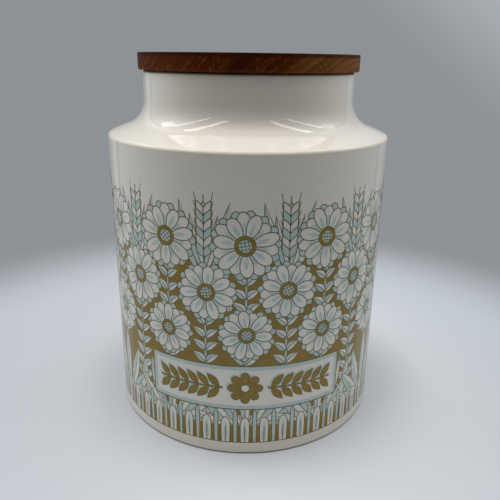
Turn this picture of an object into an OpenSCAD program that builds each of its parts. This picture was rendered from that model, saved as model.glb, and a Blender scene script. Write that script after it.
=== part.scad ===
// Food canister for a kitchen shelf: a one-piece glazed jar, the flexible seal
// ring that sits in its mouth, and a turned wooden lid that plugs into the ring.
// Millimetres, +Z up, origin at the centre of the foot, on the standing plane.
// Every piece is turned about Z, so each one is drawn as half a section in X, Y
// (radius, height) and revolved.

/* [Jar body] */
// Outside diameter of the straight wall
body_d = 154; // [136:1:180]
// Height of the corner where the wall meets the shoulder
body_h = 158.8; // [110:0.1:200]
// Thickness of the wall and of the shoulder
body_wall = 5; // [4:0.5:7]
// Thickness of the floor
floor_t = 5; // [4:0.5:8]
// Radius between the floor and the wall, inside
floor_cove_r = 12; // [4:1:20]

/* [Shoulder] */
// Slope of the shoulder from level, in degrees
shoulder_slope = 22; // [12:1:32]
// Radius of the shoulder's outer edge
shoulder_edge_r = 2; // [1:0.1:5]
// Radius between the wall and the shoulder, inside
shoulder_inner_r = 6; // [2:0.5:12]

/* [Neck] */
// Outside diameter of the neck
neck_d = 114.2; // [100:0.2:120]
// Height of the rim above the corner where the neck meets the shoulder
neck_h = 23.7; // [20:0.1:35]
// Thickness of the neck
neck_wall = 5; // [4:0.5:6]
// Radius between the shoulder and the neck, outside
neck_cove_r = 15; // [4:0.5:20]
// Radius of the two edges of the rim
rim_edge_r = 1.1; // [0.5:0.1:1.8]

/* [Foot] */
// Radius of the lower edge of the wall
foot_edge_r = 1.6; // [0.6:0.1:3]
// Width of the ring that the jar stands on
foot_w = 6; // [4:0.5:10]
// Depth of the recess inside that ring
foot_recess = 1.6; // [1:0.1:3]

/* [Lid] */
// Distance that the lid reaches out past the neck
lid_overhang = 2.2; // [0.5:0.1:5]
// Thickness of the lid's disc
lid_t = 8.5; // [6:0.5:14]
// Radius of the disc's upper edge
lid_top_r = 0.5; // [0.3:0.1:2]
// Radius of the disc's lower edge
lid_under_r = 0.8; // [0.3:0.1:2]
// Depth of the plug below the disc
plug_h = 12; // [10:0.5:16]
// Thickness of the plug's lip, which holds the seal ring up
plug_lip_t = 2.6; // [2:0.1:4]
// Chamfer on the lower edge of the lip
plug_chamfer = 0.8; // [0.2:0.1:1.2]
// Depth of the plug's groove, which the seal ring fills
groove_depth = 1.8; // [1.4:0.1:3]

/* [Seal ring] */
// Thickness of the flange between the lid and the rim
flange_t = 0.6; // [0.4:0.1:2]
// Distance that the flange stands back from the neck's outside
flange_setback = 0.6; // [0:0.1:2]
// Thickness of the sleeve around the plug
sleeve_t = 1.6; // [1.2:0.1:2.4]
// Number of fins that wipe the neck's bore
fin_count = 2; // [1:1:3]
// Reach of the fins from the sleeve
fin_reach = 3.8; // [2.5:0.1:5]
// Height that each fin rises from its root to its tip
fin_rise = 0.8; // [0:0.1:1.2]
// Thickness of each fin at its root
fin_root_t = 1; // [0.6:0.1:1.4]
// Thickness of each fin at its tip
fin_tip_t = 0.5; // [0.3:0.1:0.8]

/* [Fits] */
// Gap between the fins and the neck's bore
bore_gap = 0.3; // [0.2:0.05:0.6]
// Gap between the seal ring and the plug's groove
groove_gap = 0.2; // [0.1:0.05:0.5]

/* [Hidden] */
$fn = 180;

glaze_white = [0.93, 0.92, 0.88];
teak_brown = [0.42, 0.22, 0.10];
seal_grey = [0.13, 0.12, 0.12];

body_r = body_d / 2;
body_bore_r = body_r - body_wall;
neck_r = neck_d / 2;
neck_bore_r = neck_r - neck_wall;

shoulder_rise = (body_r - neck_r) * tan(shoulder_slope);
rim_z = body_h + shoulder_rise + neck_h;
floor_z = foot_recess + floor_t;
// The shoulder's inner face runs one wall's thickness under its outer face
shoulder_drop = body_wall / cos(shoulder_slope);

foot_outer_r = body_r - foot_edge_r;
recess_r = foot_outer_r - foot_w;

lid_r = neck_r + lid_overhang;
lid_z = rim_z + flange_t;
plug_z = lid_z - plug_h;
groove_z = plug_z + plug_lip_t;

fin_tip_r = neck_bore_r - bore_gap;
sleeve_r = fin_tip_r - fin_reach;
sleeve_bore_r = sleeve_r - sleeve_t;
sleeve_z = groove_z + groove_gap;
groove_r = sleeve_bore_r - groove_gap;
plug_r = groove_r + groove_depth;

// The joint between two pieces of a section reaches this far into each
overlap = 0.01;

// Height of the shoulder's outer face at a radius
function shoulder_z(r) = body_h + (body_r - r) * tan(shoulder_slope);

// Unit vector from one point of a section to another
function heading(from, to) = (to - from) / norm(to - from);

// Half of the angle at a corner between its two neighbours
function half_angle(before, corner, after) =
    acos(heading(corner, before) * heading(corner, after)) / 2;

// Largest radius up to r that a corner can take when its arc may use only a
// share of the shorter of its two sides
function fitted_r(before, corner, after, r, share = 0.62) =
    min(r, share * min(norm(before - corner), norm(after - corner))
        * tan(half_angle(before, corner, after)));

// The sliver between a corner and the arc that rounds it. Taken away it rounds
// an outer corner, and added it fills an inner one.
module corner_sliver(before, corner, after, r) {
    arc_r = fitted_r(before, corner, after, r);
    u = heading(corner, before);
    v = heading(corner, after);
    tangent = arc_r / tan(half_angle(before, corner, after));
    centre = corner + heading([0, 0], u + v) * arc_r
        / sin(half_angle(before, corner, after));
    difference() {
        polygon([corner, corner + u * tangent, centre, corner + v * tangent]);
        translate(centre) circle(arc_r);
    }
}

// Half section of the jar as if it were solid, from the foot to the rim
module jar_outside() {
    foot = [body_r, 0];
    shoulder = [body_r, body_h];
    neck = [neck_r, shoulder_z(neck_r)];
    rim = [neck_r, rim_z];
    difference() {
        union() {
            polygon([[0, 0], foot, shoulder, neck, rim, [0, rim_z]]);
            corner_sliver(shoulder, neck, rim, neck_cove_r);
        }
        corner_sliver([0, 0], foot, shoulder, foot_edge_r);
        corner_sliver(foot, shoulder, neck, shoulder_edge_r);
        corner_sliver(neck, rim, [0, rim_z], rim_edge_r);
    }
}

// Half section of the space inside the jar, up through the neck
module jar_inside() {
    cove = [body_bore_r, floor_z];
    shoulder = [body_bore_r, shoulder_z(body_bore_r) - shoulder_drop];
    neck = [neck_bore_r, shoulder_z(neck_bore_r) - shoulder_drop];
    rim = [neck_bore_r, rim_z];
    difference() {
        union() {
            polygon([[0, floor_z], cove, shoulder, neck, rim, [0, rim_z]]);
            corner_sliver(shoulder, neck, rim, neck_cove_r + body_wall);
            corner_sliver(neck, rim, [neck_r, rim_z], rim_edge_r);
        }
        corner_sliver([0, floor_z], cove, shoulder, floor_cove_r);
        corner_sliver(cove, shoulder, neck, shoulder_inner_r);
    }
}

// Half section of the shallow recess under the jar, with a sloping side
module foot_hollow() {
    polygon([
        [0, 0], [recess_r, 0], [recess_r - foot_recess, foot_recess], [0, foot_recess]
    ]);
}

module jar() {
    color(glaze_white) rotate_extrude() difference() {
        jar_outside();
        jar_inside();
        foot_hollow();
    }
}

// Half section of one fin, rising from its root on the sleeve to its tip
module fin_section(z) {
    polygon([
        [sleeve_r - overlap, z],
        [sleeve_r, z],
        [fin_tip_r, z + fin_rise],
        [fin_tip_r, z + fin_rise + fin_tip_t],
        [sleeve_r, z + fin_root_t],
        [sleeve_r - overlap, z + fin_root_t]
    ]);
}

module seal_ring() {
    fin_pitch = (rim_z - sleeve_z) / fin_count;
    color(seal_grey) rotate_extrude() {
        translate([sleeve_bore_r, rim_z])
            square([neck_r - flange_setback - sleeve_bore_r, flange_t]);
        translate([sleeve_bore_r, sleeve_z])
            square([sleeve_t, rim_z + overlap - sleeve_z]);
        for (i = [0 : fin_count - 1])
            fin_section(sleeve_z + i * fin_pitch);
    }
}

module lid() {
    top = [lid_r, lid_z + lid_t];
    under = [lid_r, lid_z];
    color(teak_brown) rotate_extrude() {
        difference() {
            translate([0, lid_z]) square([lid_r, lid_t]);
            corner_sliver([0, top.y], top, under, lid_top_r);
            corner_sliver(top, under, [0, under.y], lid_under_r);
        }
        translate([0, plug_z]) square([groove_r, plug_h + overlap]);
        polygon([
            [0, plug_z], [plug_r - plug_chamfer, plug_z], [plug_r, plug_z + plug_chamfer],
            [plug_r, groove_z], [0, groove_z]
        ]);
    }
}

jar();
seal_ring();
lid();
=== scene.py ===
"""Looks of a food canister: a glazed jar with a printed band, a turned wooden lid
and the seal ring between them.

Lengths are in millimetres until a mesh is made, and meshes are in metres. The
front faces -Y. Sections of turned pieces and the drawing of the printed band are
flat, so their points are complex numbers: radius + 1j * height for a section,
and across + 1j * up for the band, which is drawn on the unrolled wall.
"""
import cmath
import logging
import math
import random
from collections.abc import Callable, Iterator, Sequence
from dataclasses import dataclass
from enum import Enum
from itertools import pairwise

import bpy
from mathutils import Matrix, Vector
from mathutils.geometry import delaunay_2d_cdt


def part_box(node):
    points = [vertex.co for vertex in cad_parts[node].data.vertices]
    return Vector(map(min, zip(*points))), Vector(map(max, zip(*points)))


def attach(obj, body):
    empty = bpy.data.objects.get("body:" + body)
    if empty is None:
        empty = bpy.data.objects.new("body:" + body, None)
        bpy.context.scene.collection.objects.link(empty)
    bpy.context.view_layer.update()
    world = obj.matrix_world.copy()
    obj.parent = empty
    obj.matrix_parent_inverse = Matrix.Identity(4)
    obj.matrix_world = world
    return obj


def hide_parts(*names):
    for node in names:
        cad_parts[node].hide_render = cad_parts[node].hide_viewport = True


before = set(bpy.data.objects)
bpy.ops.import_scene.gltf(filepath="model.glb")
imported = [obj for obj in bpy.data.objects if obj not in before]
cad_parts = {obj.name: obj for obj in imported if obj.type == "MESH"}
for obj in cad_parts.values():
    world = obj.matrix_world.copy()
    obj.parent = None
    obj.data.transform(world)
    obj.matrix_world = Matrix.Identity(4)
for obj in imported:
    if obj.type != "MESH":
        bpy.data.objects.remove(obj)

LOG = logging.getLogger("canister")
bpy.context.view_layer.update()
MM = 0.001
BORE_GAP = 0.3  # mm between the neck's bore and the seal's fins

Colour = tuple[float, float, float]
Outline = list[complex]
Corner = tuple[float, float, float]
Triangle = tuple[int, int, int]


# ---- shader maths


def _maths(operation: str, swapped: bool = False) -> Callable[..., "Signal"]:
    """Makes a Signal method that adds one Math node.

    Args:
        operation: what the node works out.
        swapped: whether the other value comes first.

    Returns:
        The method, which takes a number or a signal.
    """

    def method(signal: "Signal", other: object = 0.0) -> "Signal":
        first, second = (other, signal) if swapped else (signal, other)
        return signal.book.node("ShaderNodeMath", {"operation": operation}, {0: first, 1: second})

    return method


@dataclass(frozen=True)
class Signal:
    """A shader socket that takes part in sums like a number."""

    book: "NodeBook"
    socket: bpy.types.NodeSocket

    __add__ = __radd__ = _maths("ADD")
    __sub__ = _maths("SUBTRACT")
    __rsub__ = _maths("SUBTRACT", swapped=True)
    __mul__ = _maths("MULTIPLY")
    __truediv__ = _maths("DIVIDE")
    __pow__ = _maths("POWER")
    least = _maths("MINIMUM")
    size = _maths("ABSOLUTE")
    fraction = _maths("FRACT")
    angle_over = _maths("ARCTAN2")


class NodeBook:
    """Writes the nodes of one material or of the world.

    Args:
        owner: the material or world, whose nodes are cleared.
    """

    def __init__(self, owner: bpy.types.Material | bpy.types.World) -> None:
        owner.use_nodes = True
        self.tree = owner.node_tree
        self.tree.nodes.clear()

    def node(self, kind: str, settings: dict | None = None, sockets: dict | None = None,
             output: int | str = 0) -> Signal:
        """Adds a node.

        Args:
            kind: the node's type.
            settings: its properties, which are set first.
            sockets: values or signals of its inputs, by name or number.
            output: the output to hand back, by name or number.

        Returns:
            That output as a signal.
        """
        made = self.tree.nodes.new(kind)
        for key, value in (settings or {}).items():
            setattr(made, key, value)
        for key, value in (sockets or {}).items():
            if isinstance(value, Signal):
                self.tree.links.new(value.socket, made.inputs[key])
            else:
                made.inputs[key].default_value = value
        return Signal(self, made.outputs[output])

    def end(self, kind: str, surface: Signal) -> None:
        """Joins a shader to an output node of the given type."""
        out = self.tree.nodes.new(kind)
        self.tree.links.new(surface.socket, out.inputs["Surface"])

    def axes(self, vector: Signal) -> tuple[Signal, Signal, Signal]:
        """The X, Y and Z of a vector."""
        split = self.node("ShaderNodeSeparateXYZ", sockets={0: vector}).socket.node
        return tuple(Signal(self, out) for out in split.outputs)

    def stretched(self, vector: Signal, by: Colour) -> Signal:
        """A vector with each axis multiplied by its own number."""
        return self.node("ShaderNodeVectorMath", {"operation": "MULTIPLY"}, {0: vector, 1: by})

    def noise(self, vector: Signal, scale: float, detail: float = 2.0, rough: float = 0.5) -> Signal:
        """Noise from 0 to 1 over a vector; scale is in waves a metre."""
        return self.node("ShaderNodeTexNoise", {}, {
            "Vector": vector, "Scale": scale, "Detail": detail, "Roughness": rough})

    def noise_along(self, value: Signal, scale: float, detail: float = 2.0) -> Signal:
        """Noise from 0 to 1 along one number."""
        return self.node("ShaderNodeTexNoise", {"noise_dimensions": "1D"}, {
            "W": value, "Scale": scale, "Detail": detail})

    def fade(self, value: object, start: float, end: float, low: float = 0.0, high: float = 1.0) -> Signal:
        """Eases from low to high as the value goes from start to end."""
        return self.node("ShaderNodeMapRange", {"interpolation_type": "SMOOTHSTEP"}, {
            "Value": value, "From Min": start, "From Max": end, "To Min": low, "To Max": high})

    def blend(self, share: object, first: object, second: object) -> Signal:
        """Mixes two colours; share 1 is all of the second."""
        first, second = (
            (*c, 1.0) if isinstance(c, tuple) else c for c in (first, second))
        return self.node("ShaderNodeMix", {"data_type": "RGBA"}, {0: share, 6: first, 7: second}, 2)

    def relief(self, height: Signal, depth: float, under: Signal | None = None) -> Signal:
        """A bump normal.

        Args:
            height: the relief, from 0 to 1.
            depth: metres from its lowest to its highest point.
            under: a normal that this relief lies on.

        Returns:
            The bumped normal.
        """
        sockets = {"Height": height, "Distance": depth, "Strength": 1.0}
        if under:
            sockets["Normal"] = under
        return self.node("ShaderNodeBump", {}, sockets)


class FinishBook(NodeBook):
    """Writes one material.

    Args:
        name: the material's name.
    """

    def __init__(self, name: str) -> None:
        self.material = bpy.data.materials.new(name)
        super().__init__(self.material)

    def place(self) -> Signal:
        """Position on the piece, in metres, in the frame of the object."""
        return self.node("ShaderNodeTexCoord", output="Object")

    def finish(self, sockets: dict) -> bpy.types.Material:
        """Ends the material in one Principled shader with the given sockets."""
        surface = self.node("ShaderNodeBsdfPrincipled", {}, sockets)
        self.end("ShaderNodeOutputMaterial", surface)
        return self.material


# ---- finishes


@dataclass(frozen=True)
class Glaze:
    """Glossy warm white glaze, thinner and yellower where it runs off an edge.

    The heights are of the edges that it runs off, in metres.
    """

    edge_z: float
    rim_z: float
    colour: Colour = (0.800, 0.753, 0.655)
    pooled: Colour = (0.778, 0.738, 0.650)
    thin: Colour = (0.74, 0.63, 0.43)

    def material(self) -> bpy.types.Material:
        """The glaze as a material."""
        book = FinishBook("warm_white_glaze")
        place = book.place()
        z = book.axes(place)[2]
        clouds = book.noise(place, 26.0, 3.0)
        body = book.blend(book.fade(clouds, 0.35, 0.7), self.colour, self.pooled)
        wander = book.noise(place, 45.0, 1.0) * 0.0012
        thin = 0.0
        for edge, reach, share in ((self.edge_z, 0.0016, 0.42), (self.rim_z, 0.0012, 0.3)):
            off = (z + wander - (edge - 0.0002)).size()
            thin = book.fade(off, reach, 0.0, 0.0, share) + thin
        colour = book.blend(thin, body, self.thin)
        swell = book.noise(place, 22.0, 1.0)
        peel = book.noise(place, 620.0, 1.0)
        normal = book.relief(peel, 0.0000022, book.relief(swell, 0.00022))
        rough = book.fade(book.noise(place, 90.0, 2.0), 0.3, 0.8, 0.055, 0.095)
        return book.finish({
            "Base Color": colour, "Roughness": rough, "Normal": normal, "IOR": 1.52,
            "Coat Weight": 0.25, "Coat Roughness": 0.04})


@dataclass(frozen=True)
class BareClay:
    """Buff fired clay where the foot was wiped clean of glaze."""

    colour: Colour = (0.60, 0.47, 0.33)
    grog: Colour = (0.42, 0.30, 0.19)

    def material(self) -> bpy.types.Material:
        """The bare clay as a material."""
        book = FinishBook("bare_fired_clay")
        place = book.place()
        grains = book.noise(place, 1500.0, 3.0, 0.7)
        rubbed = book.noise(place, 60.0, 3.0)
        colour = book.blend(book.fade(grains, 0.52, 0.75), self.colour, self.grog)
        colour = book.blend(book.fade(rubbed, 0.5, 0.8, 0.0, 0.5), colour, (0.30, 0.25, 0.20))
        return book.finish({
            "Base Color": colour, "Roughness": book.fade(rubbed, 0.2, 0.8, 0.8, 0.95),
            "Normal": book.relief(grains, 0.00006)})


class Ink(Enum):
    """What shows at a point of the printed band; BARE is the glaze itself."""

    BARE = "bare"
    OLIVE = "olive"
    MINT = "mint"
    LINE = "line"


@dataclass(frozen=True)
class PrintInk:
    """A screen-printed ink fired under clear gloss, with a slightly uneven film."""

    ink: Ink
    grain: float = 0.35

    def material(self) -> bpy.types.Material:
        """The ink as a material."""
        full, sparse = {
            Ink.OLIVE: ((0.268, 0.160, 0.010), (0.315, 0.196, 0.020)),
            Ink.MINT: ((0.485, 0.595, 0.545), (0.555, 0.640, 0.590)),
            Ink.LINE: ((0.125, 0.120, 0.036), (0.180, 0.170, 0.062)),
        }[self.ink]
        book = FinishBook(f"{self.ink.value}_ink")
        place = book.place()
        film = book.noise(place, 240.0, 3.0, 0.65)
        drift = book.noise(place, 18.0, 2.0)
        share = book.fade(film * 0.6 + drift * 0.4, 0.38, 0.66)
        colour = book.blend(share, full, sparse)
        speckle = book.fade(book.noise(place, 1500.0, 2.0, 0.6), 0.50, 0.68)
        colour = book.blend(speckle * self.grain, colour, tuple(0.62 * part for part in full))
        return book.finish({
            "Base Color": colour,
            "Roughness": book.fade(film, 0.3, 0.7, 0.12, 0.20),
            "Normal": book.relief(book.noise(place, 22.0, 1.0), 0.00022),
            "IOR": 1.5, "Specular IOR Level": 0.36})


@dataclass(frozen=True)
class Teak:
    """Oiled teak, sawn so that its growth rings arch over a pith below the board.

    The grain runs along Y, and the board turns from brown through plum to gold
    across it. Lengths are in metres.
    """

    pith_x: float
    pith_z: float
    low_z: float
    top_z: float
    edge_r: float
    rings_per_m: float = 330.0
    stripe_r: float = 0.2009
    plum: Colour = (0.070, 0.0105, 0.0012)
    brown: Colour = (0.100, 0.019, 0.0014)
    gold: Colour = (0.245, 0.102, 0.024)
    fleck: Colour = (0.300, 0.120, 0.028)
    dark: Colour = (0.028, 0.006, 0.0015)

    def material(self) -> bpy.types.Material:
        """The teak as a material."""
        book = FinishBook("oiled_teak")
        place = book.place()
        x, y, z = book.axes(place)
        sway = (book.noise(book.stretched(place, (1.0, 0.16, 1.0)), 24.0, 2.0) - 0.5) * 0.012
        across = x - self.pith_x + y * 0.06 + sway
        height = z - self.pith_z + y * 0.16
        radius = (across * across + height * height) ** 0.5
        angle = height.angle_over(across)
        rings = radius * self.rings_per_m + book.noise_along(radius, 120.0, 1.0) * 1.6
        within = rings.fraction()
        early = book.fade(within, 0.0, 0.12) * book.fade(within, 0.62, 0.22)
        drift = book.noise(book.stretched(place, (1.0, 0.25, 1.0)), 34.0, 2.0) * 0.02
        streaks = book.noise_along(radius, 95.0, 3.0)
        wood = book.blend(book.fade(streaks, 0.44, 0.60), self.plum, self.brown)
        wood = book.blend(book.fade(x + drift, 0.0, -0.030) * 0.7, wood, self.brown)
        wood = book.blend(early * 0.4, wood, self.brown)
        golden = book.fade(x + drift + (streaks - 0.5) * 0.03, 0.016, 0.052)
        wood = book.blend(golden * (0.7 + early * 0.3), wood, self.gold)
        wood = book.blend(book.fade(within, 0.80, 0.97, 0.0, 0.35), wood, self.dark)
        stripe = book.fade((radius - self.stripe_r + drift * 0.2).size(), 0.0060, 0.0015)
        wood = book.blend(stripe * 0.62, wood, self.dark)
        polar = book.node("ShaderNodeCombineXYZ", {}, {"X": radius, "Y": angle * 0.045, "Z": y * 0.03})
        flecks = book.fade(book.noise(polar, 1900.0, 2.0, 0.65), 0.50, 0.66) * (0.12 + early * 0.88)
        flecks = flecks * (1 - stripe * 0.7)
        wood = book.blend(flecks * 0.55, wood, self.fleck)
        rays = book.fade(book.noise_along(angle, 260.0, 1.0), 0.55, 0.64)
        rays = rays * book.fade(book.noise(place, 75.0, 1.0), 0.46, 0.56) * book.fade(x, 0.008, 0.028)
        wood = book.blend(rays * 0.45, wood, self.dark)
        drawn = book.stretched(place, (1.0, 0.045, 1.0))
        pores = book.fade(book.noise(drawn, 1700.0, 1.0), 0.58, 0.68) * early
        wood = book.blend(pores * 0.75, wood, self.dark)
        # painted highlight: a paler line along the lid's underside edge, standing in for light bounced up
        # from the jar's shoulder
        painted_edge_highlight = book.fade((z - self.low_z - 0.0006).size() + drift * 0.02, 0.0009, 0.0002)
        wood = book.blend(painted_edge_highlight * 0.12, wood, self.fleck)
        # a darker band round the lid's top edge
        rim = book.fade((x * x + y * y) ** 0.5, self.edge_r - 0.0022, self.edge_r - 0.0008)
        top_edge_darkening = rim * book.fade(z, self.top_z - 0.0026, self.top_z - 0.0010)
        wood = book.blend(top_edge_darkening * 0.7, wood, self.dark)
        grain = 1 - pores * 0.8 + early * 0.3
        return book.finish({
            "Base Color": wood, "Roughness": 0.66 - early * 0.08 + pores * 0.2,
            "Normal": book.relief(grain, 0.00006), "IOR": 1.45, "Specular IOR Level": 0.05})


@dataclass(frozen=True)
class SealRubber:
    """Dark flexible moulding with a fine matt skin and a little dust."""

    colour: Colour = (0.015, 0.011, 0.008)
    dust: Colour = (0.055, 0.044, 0.034)

    def material(self) -> bpy.types.Material:
        """The seal's moulding as a material."""
        book = FinishBook("dark_seal_moulding")
        place = book.place()
        dusty = book.fade(book.noise(place, 130.0, 4.0, 0.65), 0.5, 0.75, 0.0, 0.6)
        skin = book.noise(place, 2600.0, 2.0)
        return book.finish({
            "Base Color": book.blend(dusty, self.colour, self.dust),
            "Roughness": book.fade(dusty, 0.0, 0.6, 0.55, 0.75),
            "Normal": book.relief(skin, 0.00001), "Specular IOR Level": 0.15})


# ---- turned pieces


def heading(step: complex) -> complex:
    """The direction of a step, one unit long."""
    return step / abs(step)


def rounded(corners: Sequence[Corner], closed: bool, arc_deg: float = 5.0) -> Outline:
    """Rounds the corners of a section with true arcs.

    Args:
        corners: each corner's place and its rounding, in order; 0 leaves it sharp.
        closed: whether the last corner joins the first.
        arc_deg: the longest step along an arc, in degrees.

    Returns:
        The section's points; a closed section ends on its first point.
    """
    points: Outline = []
    spots = [complex(across, up) for across, up, _ in corners]
    for k, corner in enumerate(spots):
        radius = corners[k][2]
        if radius == 0:
            points.append(corner)
            continue
        before = heading(spots[k - 1] - corner)
        after = heading(spots[(k + 1) % len(spots)] - corner)
        half = abs(cmath.phase(after / before)) / 2
        centre = corner + heading(before + after) * radius / math.sin(half)
        start = corner + before * radius / math.tan(half) - centre
        sweep = math.copysign(math.pi - 2 * half, cmath.phase(after / before) * -1)
        steps = max(2, math.ceil(math.degrees(abs(sweep)) / arc_deg))
        points += [centre + start * cmath.rect(1, sweep * s / steps) for s in range(steps + 1)]
    return points + points[:1] if closed else points


def turned(name: str, section: Outline, steps: int) -> bpy.types.Object:
    """Draws a section in the X-Z plane and spins it about Z.

    Args:
        name: the piece's name.
        section: its points, radius + 1j * height, in millimetres. It either ends
            on the axis at both ends or closes on itself.
        steps: faces round the piece.

    Returns:
        A closed, smooth piece at the origin.
    """
    bpy.ops.object.select_all(action="DESELECT")
    bpy.ops.mesh.primitive_plane_add(size=MM)
    piece = bpy.context.object
    piece.name = piece.data.name = name
    bpy.ops.object.mode_set(mode="EDIT")
    bpy.ops.mesh.select_mode(type="VERT")
    bpy.ops.mesh.select_all(action="SELECT")
    bpy.ops.mesh.merge(type="CENTER")
    bpy.ops.transform.translate(value=(section[0].real * MM, 0.0, section[0].imag * MM))
    for here, there in pairwise(section):
        step = (there - here) * MM
        bpy.ops.mesh.extrude_vertices_move(TRANSFORM_OT_translate={"value": (step.real, 0.0, step.imag)})
    bpy.ops.mesh.select_all(action="SELECT")
    bpy.ops.mesh.spin(steps=steps, angle=math.tau, center=(0, 0, 0), axis=(0, 0, 1))
    bpy.ops.mesh.select_all(action="SELECT")
    bpy.ops.mesh.remove_doubles(threshold=0.002 * MM)
    bpy.ops.mesh.normals_make_consistent(inside=False)
    bpy.ops.object.mode_set(mode="OBJECT")
    bpy.ops.object.shade_smooth_by_angle(angle=math.radians(40))
    even = piece.modifiers.new("even_shading", "WEIGHTED_NORMAL")
    even.keep_sharp = True
    bpy.ops.object.modifier_apply(modifier=even.name)
    return piece


@dataclass(frozen=True)
class JarSizes:
    """Sizes of the jar's section, in millimetres."""

    body_r: float
    rim_z: float
    body_wall: float = 5.0
    shoulder_z: float = 158.8
    shoulder_slope: float = math.radians(22)
    shoulder_edge_r: float = 2.0
    shoulder_inner_r: float = 6.0
    neck_r: float = 57.1
    neck_wall: float = 5.0
    neck_cove_r: float = 15.0
    rim_edge_r: float = 1.1
    floor_t: float = 5.0
    floor_cove_r: float = 12.0
    foot_edge_r: float = 1.6
    foot_w: float = 6.0
    foot_recess: float = 1.6
    foot_inner_r: float = 0.3
    recess_edge_r: float = 0.6

    @property
    def neck_bore_r(self) -> float:
        """Radius of the neck's bore."""
        return self.neck_r - self.neck_wall

    @property
    def recess_r(self) -> float:
        """Radius of the recess inside the foot ring."""
        return self.body_r - self.foot_edge_r - self.foot_w

    def shoulder(self, radius: float, edge_r: float, below: float = 0.0) -> Corner:
        """A corner at a radius on the shoulder's outer face, or so far below it."""
        rise = (self.body_r - radius) * math.tan(self.shoulder_slope)
        return radius, self.shoulder_z + rise - below, edge_r

    def section(self) -> list[Corner]:
        """Corners and radii, from under the floor up the outside and down the inside."""
        under = self.foot_recess
        floor_z = under + self.floor_t
        inner_r = self.body_r - self.body_wall
        drop = self.body_wall / math.cos(self.shoulder_slope)
        return [
            (0, under, 0),
            (self.recess_r - under, under, self.recess_edge_r),
            (self.recess_r, 0, self.foot_inner_r),
            (self.body_r, 0, self.foot_edge_r),
            self.shoulder(self.body_r, self.shoulder_edge_r),
            self.shoulder(self.neck_r, self.neck_cove_r),
            (self.neck_r, self.rim_z, self.rim_edge_r),
            (self.neck_bore_r, self.rim_z, self.rim_edge_r),
            self.shoulder(self.neck_bore_r, self.neck_cove_r + self.body_wall, drop),
            self.shoulder(inner_r, self.shoulder_inner_r, drop),
            (inner_r, floor_z, self.floor_cove_r),
            (0, floor_z, 0),
        ]


@dataclass(frozen=True)
class Jar:
    """The one-piece glazed jar."""

    sizes: JarSizes
    steps: int = 288
    bare_to: float = 0.45

    def build(self) -> bpy.types.Object:
        """Turns the jar, glazes it and leaves the foot ring bare."""
        jar = turned("glazed_jar", rounded(self.sizes.section(), closed=False), self.steps)
        glaze = Glaze(self.sizes.shoulder_z * MM, self.sizes.rim_z * MM)
        jar.data.materials.append(glaze.material())
        jar.data.materials.append(BareClay().material())
        for face in jar.data.polygons:
            low = face.center.z < self.bare_to * MM
            face.material_index = int(low and face.center.xy.length > self.sizes.recess_r * MM)
        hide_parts("jar")
        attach(jar, "jar")
        return jar


@dataclass(frozen=True)
class Lid:
    """The turned lid: a flat disc with a grooved plug under it.

    The pith of its growth rings is placed from the middle of the disc's underside.
    """

    radius: float
    disc_z: float
    top_z: float
    plug_z: float
    plug_r: float = 48.0
    groove_r: float = 46.2
    lip_t: float = 2.6
    lip_edge_r: float = 0.9
    groove_edge_r: float = 0.3
    top_edge_r: float = 0.5
    under_edge_r: float = 0.8
    pith: complex = complex(130, -150)
    steps: int = 256

    def build(self) -> bpy.types.Object:
        """Turns the lid and oils it."""
        lip_top = self.plug_z + self.lip_t
        section = [
            (0, self.plug_z, 0),
            (self.plug_r, self.plug_z, self.lip_edge_r),
            (self.plug_r, lip_top, self.groove_edge_r),
            (self.groove_r, lip_top, self.groove_edge_r),
            (self.groove_r, self.disc_z, self.groove_edge_r),
            (self.radius, self.disc_z, self.under_edge_r),
            (self.radius, self.top_z, self.top_edge_r),
            (0, self.top_z, 0),
        ]
        lid = turned("teak_lid", rounded(section, closed=False, arc_deg=10), self.steps)
        pith = complex(0, self.disc_z) + self.pith
        finish = Teak(*(length * MM for length in (
            pith.real, pith.imag, self.disc_z, self.top_z, self.radius)))
        lid.data.materials.append(finish.material())
        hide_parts("lid")
        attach(lid, "lid")
        return lid


@dataclass(frozen=True)
class SealRing:
    """The flexible ring: a flange, a sleeve round the plug and fins on the sleeve."""

    top_z: float
    rim_z: float
    low_z: float
    flange_r: float
    fin_r: float
    sleeve_t: float = 1.6
    fin_reach: float = 3.8
    fin_rise: float = 0.8
    fin_root_t: float = 1.0
    fin_tip_t: float = 0.5
    fins: int = 2
    edge_r: float = 0.2
    root_edge_r: float = 0.05
    steps: int = 224

    def build(self) -> bpy.types.Object:
        """Turns the ring from its section."""
        outer_r = self.fin_r - self.fin_reach
        bore_r = outer_r - self.sleeve_t
        pitch = (self.rim_z - self.low_z) / self.fins
        section = [(bore_r, self.low_z, self.edge_r)]
        for k in range(self.fins):
            root = self.low_z + k * pitch
            tip = root + self.fin_rise
            section += [
                (outer_r, root, self.root_edge_r),
                (self.fin_r, tip, self.edge_r),
                (self.fin_r, tip + self.fin_tip_t, self.edge_r),
                (outer_r, root + self.fin_root_t, self.edge_r),
            ]
        section += [
            (outer_r, self.rim_z, self.edge_r),
            (self.flange_r, self.rim_z, self.edge_r),
            (self.flange_r, self.top_z, self.edge_r),
            (bore_r, self.top_z, self.edge_r),
        ]
        ring = turned("seal_moulding", rounded(section, closed=True, arc_deg=30), self.steps)
        ring.data.materials.append(SealRubber().material())
        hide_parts("seal_ring")
        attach(ring, "seal")
        return ring


# ---- outlines to print


def disc(centre: complex, radius: float, sides: int = 20) -> Outline:
    """A round outline."""
    return [centre + cmath.rect(radius, math.tau * k / sides) for k in range(sides)]


def panel(low: complex, high: complex) -> Outline:
    """A rectangle between two corners."""
    return [low, complex(high.real, low.imag), high, complex(low.real, high.imag)]


def bowed(start: complex, end: complex, bow: float, steps: int = 8) -> Outline:
    """A path that bows sideways between two points, to the left where bow is positive."""
    across = 1j * heading(end - start)
    return [
        start + (end - start) * k / steps + across * bow * math.sin(math.pi * k / steps)
        for k in range(steps + 1)
    ]


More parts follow.
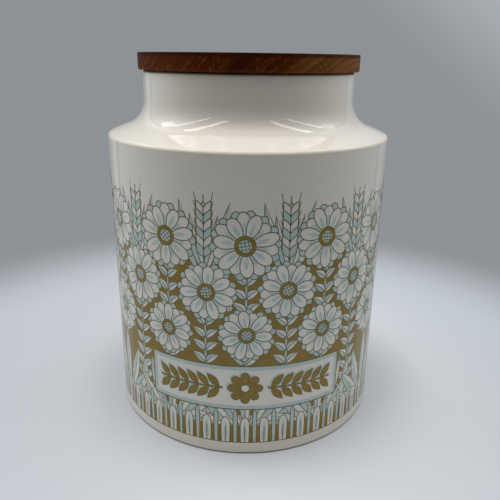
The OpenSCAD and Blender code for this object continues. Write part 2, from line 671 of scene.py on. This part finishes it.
def ribbon(path: Outline, width: float, taper: float = 1.0) -> Outline:
    """A strip along a path, whose width ends at taper times what it began with."""
    last = len(path) - 1
    half = [
        1j * heading(path[min(k + 1, last)] - path[max(k - 1, 0)])
        * width / 2 * (1 + (taper - 1) * k / last)
        for k in range(last + 1)
    ]
    right = [point - side for point, side in zip(path, half)]
    left = [point + side for point, side in zip(path, half)]
    return right + left[::-1]


def blade(root: complex, tip: complex, width: float, fullest: float = 0.45, bend: float = 0.0,
          left: float = 1.0, steps: int = 7) -> Outline:
    """A leaf that is pointed at both ends.

    Args:
        root: where it starts.
        tip: where it ends.
        width: its width at the fullest place.
        fullest: how far along that place is, from 0 to 1.
        bend: how far its middle bows to the left.
        left: share of the left half; 0 leaves the half on the right of the midrib.
        steps: stretches along each side.

    Returns:
        The outline, anticlockwise.
    """
    along, across = tip - root, 1j * heading(tip - root)
    skew = math.log(0.5) / math.log(fullest)

    def edge(t: float, side: float) -> complex:
        half = side * width / 2 * math.sin(math.pi * t**skew)
        return root + along * t + across * (half + bend * math.sin(math.pi * t))

    right = [edge(k / steps, -1.0) for k in range(steps + 1)]
    return right + [edge(k / steps, left) for k in range(steps - 1, 0, -1)]


def petal(root: complex, tip: complex, width: float, neck: float = 0.4,
          shoulder: float = 0.6, steps: int = 4) -> Outline:
    """A petal with a round end.

    Args:
        root: where it starts.
        tip: the far end of its round end.
        width: its width at the shoulder.
        neck: width at the root, as a share of the width.
        shoulder: how far along the widest place is, from 0 to 1.
        steps: stretches on each side of the shoulder.

    Returns:
        The outline, anticlockwise.
    """
    along, across = tip - root, 1j * heading(tip - root) * width / 2
    side = [
        (shoulder * k / steps, neck + (1 - neck) * math.sin(math.pi / 2 * k / steps))
        for k in range(steps)
    ]
    for k in range(steps + 1):
        swing = math.pi / 2 * k / steps
        side.append((shoulder + (1 - shoulder) * math.sin(swing), math.cos(swing)))
    right = [root + along * t - across * w for t, w in side]
    return right + [root + along * t + across * w for t, w in reversed(side[:-1])]


def inset(outline: Outline, by: float) -> Outline:
    """Moves every edge of an anticlockwise outline inwards."""
    moved = []
    for k, here in enumerate(outline):
        after = outline[(k + 1) % len(outline)]
        middle = heading(here - outline[k - 1]) + heading(after - here)
        moved.append(here + 1j * heading(middle) * by / max(abs(middle) / 2, 0.25))
    return moved


@dataclass(frozen=True)
class Shape:
    """One flat shape of the drawing: a fill with a dark line inside its edge."""

    outline: Outline
    fill: Ink
    line: float = 0.45

    def layers(self) -> Iterator[tuple[Ink, Outline]]:
        """The shape as plain layers, the lowest first."""
        if self.line:
            yield Ink.LINE, self.outline
            yield self.fill, inset(self.outline, self.line)
        else:
            yield self.fill, self.outline


def stroke(start: complex, end: complex, width: float = 0.4) -> Shape:
    """A thin straight line."""
    return Shape(ribbon([start, end], width), Ink.LINE, 0.0)


def leaf(root: complex, tip: complex, width: float, bend: float = 0.0,
         fullest: float = 0.42, steps: int = 6) -> list[Shape]:
    """A mint leaf whose right half is bare, with a midrib."""
    line = 0.42
    rib = bowed(root, root + (tip - root) * 0.97, bend, 5)
    half = blade(root, tip, width - 2.6 * line, fullest, bend, 0.0, steps)
    return [
        Shape(blade(root, tip, width, fullest, bend, 1.0, steps), Ink.MINT, line),
        Shape(half, Ink.BARE, 0.0),
        Shape(ribbon(rib, 0.5, 0.4), Ink.LINE, 0.0),
    ]


# ---- motifs


@dataclass(frozen=True)
class Daisy:
    """A daisy seen from above: a ring of mint petals under a ring of bare ones."""

    centre: complex
    radius: float
    turn: float
    petals: int = 14

    def shapes(self) -> list[Shape]:
        """Petals first and the hatched eye last."""
        eye = 0.27 * self.radius
        pitch = math.tau / self.petals
        width = 1.8 * self.radius * math.sin(pitch / 2)
        made = []
        for k in range(self.petals):
            way = cmath.rect(1, self.turn + (k + 0.5) * pitch)
            made.append(Shape(petal(
                self.centre + way * 0.5 * self.radius, self.centre + way * self.radius,
                width * 0.9, 0.7, 0.4), Ink.MINT))
        for k in (*range(0, self.petals, 2), *range(1, self.petals, 2)):
            way = cmath.rect(1, self.turn + k * pitch)
            reach = self.radius * (0.96 - 0.04 * (k * 5 % 3))
            made.append(Shape(petal(
                self.centre + way * eye * 0.8, self.centre + way * reach, width), Ink.BARE))
            made.append(Shape(blade(
                self.centre + way * eye, self.centre + way * self.radius * 0.68,
                width * 0.32, steps=4), Ink.MINT, 0.0))
        return made + self._eye(eye)

    def _eye(self, radius: float) -> list[Shape]:
        """An olive ring round a cross-hatched mint middle."""
        inner = radius * 0.76
        made = [
            Shape(disc(self.centre, radius * 1.12), Ink.OLIVE),
            Shape(disc(self.centre, inner, 18), Ink.MINT),
        ]
        reach = inner - 0.4
        for angle in (math.pi / 4, -math.pi / 4):
            way = cmath.rect(1, self.turn + angle)
            for k in (-0.55, 0.0, 0.55):
                half = way * reach * math.sqrt(1 - k * k)
                middle = self.centre + way * 1j * reach * k
                made.append(stroke(middle - half, middle + half, 0.35))
        return made


@dataclass(frozen=True)
class WheatEar:
    """An ear of wheat: grains in pairs up a stalk, each with a short beard."""

    root: complex
    tip: complex
    pairs: int = 6

    def shapes(self) -> list[Shape]:
        """From the top grain down, so that each pair overlaps the one above."""
        way = heading(self.tip - self.root)
        pitch = abs(self.tip - self.root) / (self.pairs + 1.2)
        grain = pitch * 2.1
        made = [
            stroke(self.root, self.tip + way * 2.5, 0.45),
            Shape(blade(self.tip - way * grain, self.tip, grain * 0.46, steps=5), Ink.MINT),
        ]
        for k in range(self.pairs, 0, -1):
            at = self.root + way * (k - 0.6) * pitch
            for side in (1, -1):
                lean = way * cmath.rect(1, side * math.radians(27))
                end = at + lean * grain
                made.append(stroke(end, end + (lean + way) * 1.8, 0.35))
                fill = Ink.MINT if k % 2 else Ink.BARE
                made.append(Shape(blade(at, end, grain * 0.46, steps=5), fill))
        return made


@dataclass(frozen=True)
class Sprig:
    """A straight stem with leaves in pairs and one at its end."""

    root: complex
    tip: complex
    pairs: int
    leaf_l: float = 10.0
    leaf_w: float = 5.2

    def shapes(self) -> list[Shape]:
        """The stem first, then its leaves from the bottom up."""
        along = self.tip - self.root
        way = heading(along)
        made = [Shape(ribbon([self.root, self.tip], 1.8, 0.8), Ink.MINT, 0.35)]
        for k in range(self.pairs):
            at = self.root + along * (k + 0.5) / self.pairs
            size = 1 - 0.2 * k / self.pairs
            for side in (1, -1):
                tip = at + way * cmath.rect(self.leaf_l * size, side * math.radians(52))
                made += leaf(at, tip, self.leaf_w * size, -side * 0.8, steps=5)
        return made + leaf(self.tip, self.tip + way * self.leaf_l * 0.8, self.leaf_w * 0.8, steps=5)


@dataclass(frozen=True)
class Fan:
    """Long leaves that open from one root, the middle one in front."""

    root: complex
    reach: float
    spread: float
    pairs: int

    def shapes(self) -> list[Shape]:
        """From the outer leaves to the middle one."""
        made = []
        for k in sorted(range(-self.pairs, self.pairs + 1), key=abs, reverse=True):
            way = cmath.rect(1, math.radians(90 + k * self.spread / self.pairs))
            tip = self.root + way * self.reach * (1 - 0.1 * abs(k))
            bend = math.copysign(1.6, k) if k else 0.0
            made += leaf(self.root, tip, 7.4, bend, 0.55)
        return made


@dataclass(frozen=True)
class Cartouche:
    """A plain framed panel with a rosette between two laurel sprays."""

    centre: complex
    width: float
    height: float
    rim: float = 2.6
    cast: complex = complex(-0.8, 0.8)

    def shapes(self) -> list[Shape]:
        """The frame first, then the ornament, each part over its mint cast."""
        corner = complex(self.width, self.height) / 2
        inner = corner - complex(self.rim, self.rim)
        made = [
            Shape(panel(self.centre - corner, self.centre + corner), Ink.MINT, 0.6),
            Shape(panel(self.centre - inner, self.centre + inner), Ink.BARE, 0.0),
        ]
        for shift, ink, line in ((self.cast, Ink.MINT, 0.0), (0j, Ink.OLIVE, 0.35)):
            made += self._rosette(self.centre + shift, ink, line)
            for side in (1, -1):
                made += self._laurel(self.centre + shift, side, ink, line)
        made.append(Shape(disc(self.centre, 2.4, 18), Ink.BARE))
        return made

    @staticmethod
    def _rosette(centre: complex, ink: Ink, line: float) -> list[Shape]:
        """Eight round petals."""
        ways = [cmath.rect(1, math.tau * k / 8) for k in range(8)]
        return [Shape(petal(centre + way * 2.2, centre + way * 9.2, 5.0), ink, line) for way in ways]

    @staticmethod
    def _laurel(centre: complex, side: int, ink: Ink, line: float) -> list[Shape]:
        """A level stem with six pairs of leaves, to the right or to the left."""
        ends = sorted((centre + side * 11.5, centre + side * 47.0), key=lambda p: p.real)
        made = [Shape(ribbon(ends, 1.2), ink, line)]
        for k in range(6):
            at = centre + side * (13.0 + 5.5 * k)
            for rise in (1, -1):
                tip = at + complex(side * 6.6, rise * 7.4)
                made.append(Shape(blade(at, tip, 4.4, 0.5, steps=5), ink, line))
        return made


# ---- printed band


@dataclass(frozen=True)
class Meadow:
    """Lays out the drawing in equal columns round the unrolled wall.

    Heights are in millimetres above the foot.
    """

    girth: float
    columns: int = 12
    low: float = 7.0
    ground_top: float = 119.0
    fan_z: float = 13.0
    label: Cartouche = Cartouche(complex(0, 40.3), 105.0, 25.8)

    @property
    def pitch(self) -> float:
        """Width of a column."""
        return self.girth / self.columns

    def quarter(self, labelled: bool) -> list[Shape]:
        """Shapes of three columns about the middle of a side, back to front.

        Args:
            labelled: whether the framed panel lies on them.

        Returns:
            The shapes, which run on past the quarter's two edges.
        """
        whole = [float(k) for k in range(-2, 3)]
        between = [k + 0.5 for k in range(-3, 3)]
        made = [self._ground(), *self._crest(between)]
        for places, root, tip, pairs in ((whole, 50, 100, 7), (between, 22, 78, 8)):
            for x in (k * self.pitch for k in places):
                made += Sprig(complex(x, root), complex(x, tip), pairs).shapes()
        for places, reach, spread, pairs in ((between, 32, 60, 2), (whole, 43, 66, 3)):
            for x in (k * self.pitch for k in places):
                made += Fan(complex(x, self.fan_z), reach, spread, pairs).shapes()
        made += self._tongues()
        rows = ((whole, 69.0, 14.8), (between, 92.5, 15.8), (whole, 117.0, 17.2))
        for row, (places, height, radius) in enumerate(rows):
            for k in places:
                made += self._daisy(row, k, height, radius).shapes()
        return made + self.label.shapes() if labelled else made

    def _ground(self) -> Shape:
        """The olive ground, with a wavy top edge."""
        reach, waves = 2.2 * self.pitch, 88
        top = [
            complex(u, self.ground_top + 1.6 * math.cos(math.tau * u / self.pitch))
            for u in (reach - 2 * reach * k / waves for k in range(waves + 1))
        ]
        return Shape([complex(-reach, self.low), complex(reach, self.low), *top], Ink.OLIVE)

    def _crest(self, places: Sequence[float]) -> list[Shape]:
        """Wheat ears between long leaves, which stand above the ground."""
        made = []
        for k in places:
            x = k * self.pitch
            for side in (1, -1):
                made += leaf(complex(x, 98), complex(x + side * 12.5, 137), 7.0, -side * 1.5)
                made += leaf(complex(x, 102), complex(x + side * 7.0, 131), 5.6, -side * 1.0)
            made += WheatEar(complex(x, 108), complex(x, 137)).shapes()
        return made

    def _tongues(self) -> list[Shape]:
        """Two rows of round-ended tongues along the foot of the drawing."""
        step = self.pitch / 4
        made = [Shape(panel(complex(-9 * step, self.low), complex(9 * step, 18)), Ink.OLIVE, 0.0)]
        for k in range(-9, 9):
            x = (k + 0.5) * step
            made.append(Shape(petal(
                complex(x, self.low), complex(x, 28), step * 0.27, 0.8, 0.75), Ink.MINT))
        for k in range(-9, 10):
            x = k * step
            made.append(Shape(petal(
                complex(x, self.low), complex(x, 23), step * 0.52, 0.9, 0.7), Ink.BARE))
            made.append(Shape(blade(
                complex(x, self.low + 0.4), complex(x, 20.5), step * 0.22, steps=5), Ink.MINT, 0.0))
            made.append(stroke(complex(x, self.low), complex(x, 17)))
        return made

    def _daisy(self, row: int, column: float, height: float, radius: float) -> Daisy:
        """A daisy with its own small shift and turn, the same in every quarter."""
        mood = random.Random(f"{row} {column * 2 % 6}")
        shift = complex(mood.uniform(-0.7, 0.7), mood.uniform(-1.2, 1.2))
        centre = complex(column * self.pitch, height) + shift
        return Daisy(centre, radius * mood.uniform(0.97, 1.03), mood.uniform(0, math.tau))


@dataclass(frozen=True)
class PrintedBand:
    """The inks as thin skins fired onto the jar's wall.

    A skin reaches from sink under the glaze to film above it, in millimetres.
    """

    wall_r: float
    film: float = 0.04
    sink: float = 0.02
    facet_deg: float = 2.5
    low: float = 5.0
    high: float = 150.0

    @property
    def half_width(self) -> float:
        """Half of a quarter's width on the unrolled wall."""
        return math.pi * self.wall_r / 4

    def build(self) -> list[bpy.types.Object]:
        """Makes the skins of all four quarters."""
        meadow = Meadow(math.tau * self.wall_r)
        finishes = {ink: PrintInk(ink).material() for ink in Ink if ink is not Ink.BARE}
        drawings = {labelled: self._overlay(meadow.quarter(labelled)) for labelled in (True, False)}
        made = []
        for quarter, side in enumerate(("front", "right", "back", "left")):
            points, cells = drawings[side == "front"]
            for ink, finish in finishes.items():
                skin = self._skin(f"print_{ink.value}_{side}", points, cells[ink], quarter)
                skin.data.materials.append(finish)
                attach(skin, "jar")
                made.append(skin)
        return made

    def _overlay(self, shapes: Sequence[Shape]) -> tuple[Outline, dict[Ink, list[Triangle]]]:
        """Cuts overlapping shapes into one flat sheet of triangles.

        Args:
            shapes: the drawing, back to front.

        Returns:
            The sheet's points, and the triangles that show each ink.
        """
        corners: Outline = []
        faces: list[list[int]] = []
        inks: list[Ink] = []
        for shape in shapes:
            for ink, outline in shape.layers():
                faces.append(list(range(len(corners), len(corners) + len(outline))))
                corners += outline
                inks.append(ink)
        facets = round(90 / self.facet_deg)
        edges = []
        for k in range(facets + 1):
            across = self.half_width * (2 * k / facets - 1)
            edges.append((len(corners), len(corners) + 1))
            corners += [complex(across, self.low), complex(across, self.high)]
        flat = [Vector((p.real, p.imag)) for p in corners]
        where, _, cells, _, _, owners = delaunay_2d_cdt(flat, edges, faces, 1, 1e-5, True)
        points = [complex(*p) for p in where]
        shown: dict[Ink, list[Triangle]] = {ink: [] for ink in Ink}
        for cell, owner in zip(cells, owners):
            middle = sum(points[i] for i in cell) / 3
            if owner and abs(middle.real) < self.half_width:
                shown[inks[max(owner)]].append(tuple(cell))
        return points, shown

    def _skin(self, name: str, points: Outline, cells: Sequence[Triangle],
              quarter: int) -> bpy.types.Object:
        """Wraps triangles onto the wall as a thin closed skin.

        Args:
            name: the piece's name.
            points: places on the unrolled wall.
            cells: anticlockwise triangles between them.
            quarter: quarter turns round the jar, from the front to the right.

        Returns:
            The skin, shaded as the smooth wall is.
        """
        used = sorted({i for cell in cells for i in cell})
        number = {i: k for k, i in enumerate(used)}
        count = len(used)
        outer = [tuple(number[i] for i in cell) for cell in cells]
        ring = {edge for a, b, c in outer for edge in ((a, b), (b, c), (c, a))}
        rims = sorted(edge for edge in ring if edge[::-1] not in ring)
        ways = []
        for i in used:
            angle = points[i].real / self.wall_r + quarter * math.pi / 2
            ways.append(Vector((math.sin(angle), -math.cos(angle), 0.0)))
        heights = [Vector((0.0, 0.0, points[i].imag * MM)) for i in used]
        places = [
            way * radius * MM + height
            for radius in (self.wall_r + self.film, self.wall_r - self.sink)
            for way, height in zip(ways, heights)
        ]
        faces = outer + [(c + count, b + count, a + count) for a, b, c in outer]
        faces += [(b, a, a + count, b + count) for a, b in rims]
        mesh = bpy.data.meshes.new(name)
        mesh.from_pydata(places, [], faces)
        mesh.polygons.foreach_set("use_smooth", [True] * len(faces))
        self._map(mesh, [points[i] for i in used])
        normals = [tuple(ways[i]) for face in outer for i in face]
        for face in mesh.polygons[len(outer):]:
            normals += [tuple(face.normal)] * face.loop_total
        mesh.normals_split_custom_set(normals)
        skin = bpy.data.objects.new(name, mesh)
        bpy.context.collection.objects.link(skin)
        return skin

    def _map(self, mesh: bpy.types.Mesh, points: Outline) -> None:
        """Lays the unrolled drawing out as the skin's map."""
        layer = mesh.uv_layers.new(name="OFBake")
        count = len(points)
        for corner, spot in zip(mesh.loops, layer.data):
            point = points[corner.vertex_index % count]
            spot.uv = (0.5 + point.real / self.half_width * 0.49, point.imag / self.high)


# ---- studio


@dataclass(frozen=True)
class Lamp:
    """One rectangular lamp that hangs overhead and shines straight down.

    Lengths are in metres and power is in watts.
    """

    name: str
    at: Colour
    width: float
    depth: float
    power: float
    turn: float = 0.0
    mirrored: bool = True

    def build(self) -> None:
        """Adds the lamp, which glossy pieces mirror only if it says so."""
        data = bpy.data.lights.new(self.name, "AREA")
        data.shape = "RECTANGLE"
        data.size, data.size_y = self.width, self.depth
        data.energy = self.power
        lamp = bpy.data.objects.new(self.name, data)
        lamp.location = self.at
        lamp.rotation_euler.z = self.turn
        lamp.visible_glossy = self.mirrored
        bpy.context.collection.objects.link(lamp)


@dataclass(frozen=True)
class Viewpoint:
    """Where the camera stands: distance and height in metres, angles in radians.

    The focal length is in pixels of a square picture.
    """

    distance: float = 0.3110
    height: float = 0.19718
    pitch: float = 0.33995
    roll: float = 0.01349
    yaw: float = 0.00623
    focal_px: float = 541.25
    picture_px: float = 500.0
    sensor_mm: float = 36.0

    def build(self) -> None:
        """Adds the camera and makes it the scene's own."""
        data = bpy.data.cameras.new("viewpoint")
        data.sensor_width = self.sensor_mm
        data.lens = self.focal_px / self.picture_px * self.sensor_mm
        camera = bpy.data.objects.new("viewpoint", data)
        bpy.context.collection.objects.link(camera)
        level = math.cos(self.pitch)
        ahead = Vector((math.sin(self.yaw) * level, math.cos(self.yaw) * level, -math.sin(self.pitch)))
        right = ahead.cross(Vector((0, 0, 1))).normalized()
        over = right.cross(ahead)
        across = math.cos(self.roll) * right + math.sin(self.roll) * over
        up = math.cos(self.roll) * over - math.sin(self.roll) * right
        turn = Matrix((across, up, -ahead)).transposed().to_4x4()
        camera.matrix_world = Matrix.Translation((0, -self.distance, self.height)) @ turn
        bpy.context.scene.camera = camera


@dataclass(frozen=True)
class Studio:
    """A pale floor in soft air, which is bright at the sides and grey in front and behind.

    Levels are of light, where 1 is white.
    """

    floor_r: float = 0.9
    back_level: float = 0.305
    front_level: float = 0.05
    side_level: float = 0.42
    over_level: float = 0.75
    corner_level: float = 0.17
    warm_air: Colour = (1.0, 0.935, 0.935)
    cool_air: Colour = (0.885, 0.945, 1.0)
    paper: Colour = (0.61, 0.632, 0.655)
    paper_far: Colour = (0.53, 0.56, 0.59)
    paper_left_shade: Colour = (0.50, 0.515, 0.545)
    paper_front: Colour = (0.57, 0.65, 0.73)

    def build(self) -> None:
        """Adds the floor, the lamps, the air, the camera and the colour handling."""
        self._floor()
        Lamp("top_panel", (-0.03, -0.07, 1.25), 0.4, 0.4, 6.35, mirrored=False).build()
        for side, name in ((-1, "left"), (1, "right")):
            strip, patch = 0.20 - side * 0.02, 0.12 - side * 0.04
            Lamp(f"{name}_strip", (side * 0.19, -0.13, 0.5), 0.034, 0.42, strip, side * -0.14).build()
            Lamp(f"{name}_outer_strip", (side * 0.33, -0.15, 0.5), 0.020, 0.44, 0.14).build()
            Lamp(f"{name}_patch", (side * 0.40, 0.11, 0.5), 0.12, 0.16, patch).build()
        scene = bpy.context.scene
        scene.world = self._air()
        scene.view_settings.view_transform = "Standard"
        Viewpoint().build()

    def _floor(self) -> None:
        """A round sheet, pale under the object and darker to the left with painted shade, which fades into
        the air.
        """
        bpy.ops.object.select_all(action="DESELECT")
        bpy.ops.mesh.primitive_circle_add(vertices=96, radius=self.floor_r, fill_type="NGON")
        sheet = bpy.context.object
        sheet.name = sheet.data.name = "studio_floor"
        book = FinishBook("studio_paper")
        x, y, _ = book.axes(book.place())
        far = (x * x + y * y) ** 0.5
        paper = book.blend(book.fade(far, 0.11, 0.2), self.paper, self.paper_far)
        # painted shade: the paper is coloured darker towards the left, where less light falls on the floor
        paper = book.blend(book.fade(x, 0.02, -0.14, 0.0, 0.6), paper, self.paper_left_shade)
        paper = book.blend(book.fade(y, -0.12, -0.16), paper, self.paper_front)
        sheet.data.materials.append(book.finish({
            "Base Color": paper, "Alpha": book.fade(far + y.least(0.0) * 0.35, 0.34, 0.19),
            "Roughness": 0.9, "Specular IOR Level": 0.1}))

    def _air(self) -> bpy.types.World:
        """Light from all round, by the direction that it comes from."""
        world = bpy.data.worlds.new("studio_air")
        book = NodeBook(world)
        x, y, z = book.axes(book.node("ShaderNodeTexCoord", output="Generated"))
        back = y / (x * x + y * y + 0.0001) ** 0.5
        sides = book.fade(back, 0.88, 0.66) * book.fade(back, -0.5, 0.15) * book.fade(z, 0.9, 0.7)
        sides = sides * book.fade(z, 0.30, 0.62, 1.0, 2.4) * book.fade(z, -0.16, -0.05, 0.78, 1.2)
        corner = book.fade((back - 0.605).size(), 0.040, 0.004)
        strength = sides * (1 - x * 0.28) * self.side_level
        strength = strength + book.fade(z, 0.8, 0.97) * self.over_level
        level = book.fade(back, -0.8, -0.35, self.front_level, self.back_level)
        strength = (strength + level) * (1 - corner * 0.65)
        lit_corner = book.fade(x + z * 1.2, 0.26, 0.58) * book.fade(back, 0.7, 0.9)
        strength = strength + lit_corner * self.corner_level
        colour = book.blend(book.fade(back, -0.4, 0.2), self.warm_air, self.cool_air)
        air = book.node("ShaderNodeBackground", {}, {"Color": colour, "Strength": strength})
        book.end("ShaderNodeOutputWorld", air)
        return world


def main() -> None:
    """Builds the canister round the frame, one piece after another."""
    logging.basicConfig(level=logging.INFO, format="%(name)s: %(message)s")
    millimetres = {node: [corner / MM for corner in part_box(node)] for node in ("jar", "lid", "seal_ring")}
    _, jar_high = millimetres["jar"]
    lid_low, lid_high = millimetres["lid"]
    seal_low, seal_high = millimetres["seal_ring"]
    Studio().build()
    sizes = JarSizes(round(jar_high.x, 1) - PrintedBand.film, round(jar_high.z, 2))
    fin_r = sizes.neck_bore_r - BORE_GAP
    pieces = [
        Jar(sizes).build(),
        SealRing(seal_high.z, sizes.rim_z, seal_low.z, round(seal_high.x, 1), fin_r).build(),
        Lid(round(lid_high.x, 1), seal_high.z, lid_high.z, lid_low.z).build(),
        *PrintedBand(sizes.body_r).build(),
    ]
    for piece in pieces:
        LOG.info("%s: %d faces", piece.name, len(piece.data.polygons))


if __name__ == "__main__":
    main()
